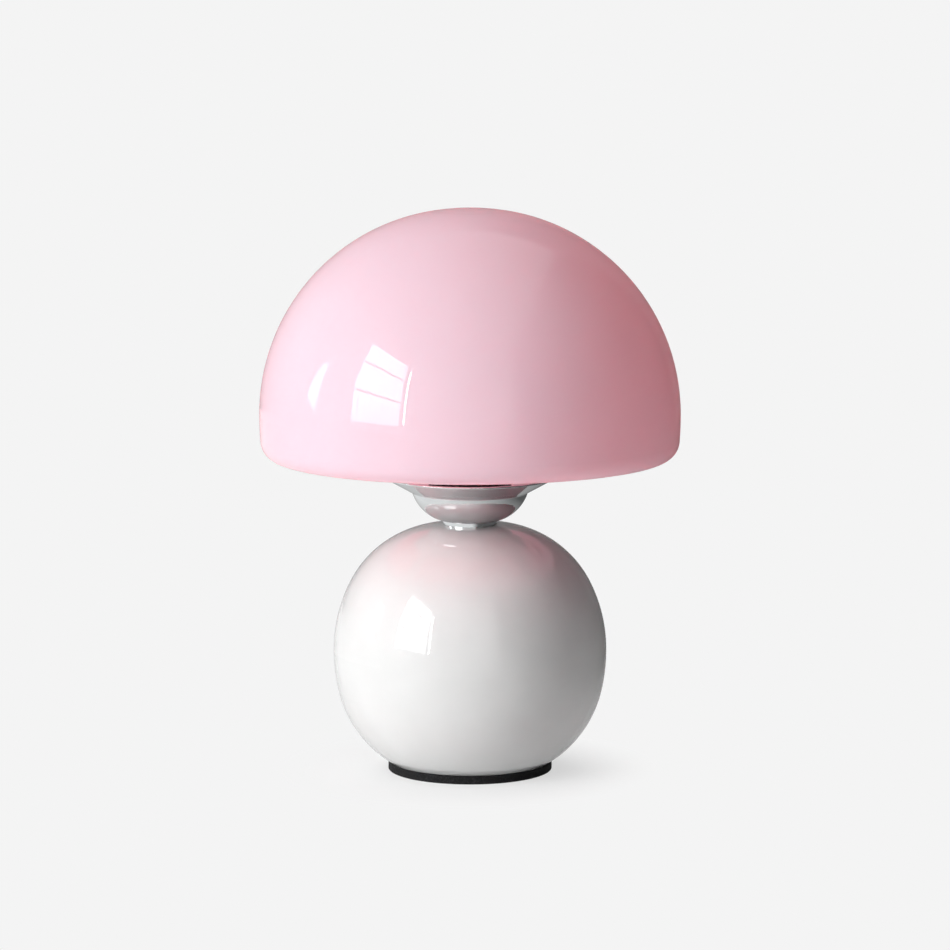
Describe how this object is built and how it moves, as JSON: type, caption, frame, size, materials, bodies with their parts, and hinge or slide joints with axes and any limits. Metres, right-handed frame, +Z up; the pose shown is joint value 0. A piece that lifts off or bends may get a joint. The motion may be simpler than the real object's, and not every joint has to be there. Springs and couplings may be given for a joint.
{
  "type": "mushroom table lamp",
  "caption": "Mushroom table lamp: glass dome on a claw spider over an E27 lampholder, in a chrome cup on a hollow glazed ball with a foam foot.",
  "frame": {"origin": "centre of the underside of the foam foot, on the table top", "axes": "+Z up along the lamp's axis, -Y towards the front, the cable inlet is at the back on +Y"},
  "size_m": [0.22, 0.22, 0.2959],
  "materials": {
    "foam": "closed-cell foam with a fine grain",
    "ceramic_ball": "high gloss white glaze",
    "plate": "black stoved",
    "steel": "zinc plated",
    "nylon": "moulded",
    "grommet": "moulded",
    "chrome": "polished",
    "phenolic": "moulded, satin gloss",
    "steatite": "unglazed",
    "brass": "drawn",
    "spider": "pressed and plated",
    "silicone": "translucent, matt",
    "pink_glass": "opaque cased glass, high gloss",
    "opal_globe": "opal diffuser, satin",
    "bulb_body": "moulded",
    "nickel": "nickel plated",
    "black_glass": "moulded",
    "board": "white solder mask"
  },
  "bodies": {
    "base": {"foot_pad": "foam", "base_plate": "plate", "foot_washer": "steel", "foot_nut": "steel", "threaded_rod": "steel", "ball_base": "ceramic_ball", "inlet_grommet": "grommet", "centring_bush": "nylon", "neck_ring": "chrome", "cup": "chrome", "cup_washer": "steel", "cup_nut": "steel", "holder_cap": "phenolic", "set_screw": "steel", "holder_insert": "steatite", "terminal_screws": "brass", "screw_shell": "brass", "centre_contact": "brass", "side_contact": "brass", "holder_skirt": "phenolic", "shade_spider": "spider", "claw_sleeves": "silicone", "ring_nut": "phenolic"},
    "shade": {"glass_shade": "pink_glass"},
    "bulb": {"bulb_contact": "nickel", "bulb_insulator": "black_glass", "bulb_cap": "nickel", "bulb_housing": "bulb_body", "led_board": "board", "bulb_globe": "opal_globe"}
  },
  "joints": [
    {"name": "shade_lift", "type": "slide", "parent": "base", "child": "shade", "axis": [0, 0, 1], "range_m": [0, 0.1]},
    {"name": "bulb_lift", "type": "slide", "parent": "base", "child": "bulb", "axis": [0, 0, 1], "range_m": [0, 0.025]}
  ]
}
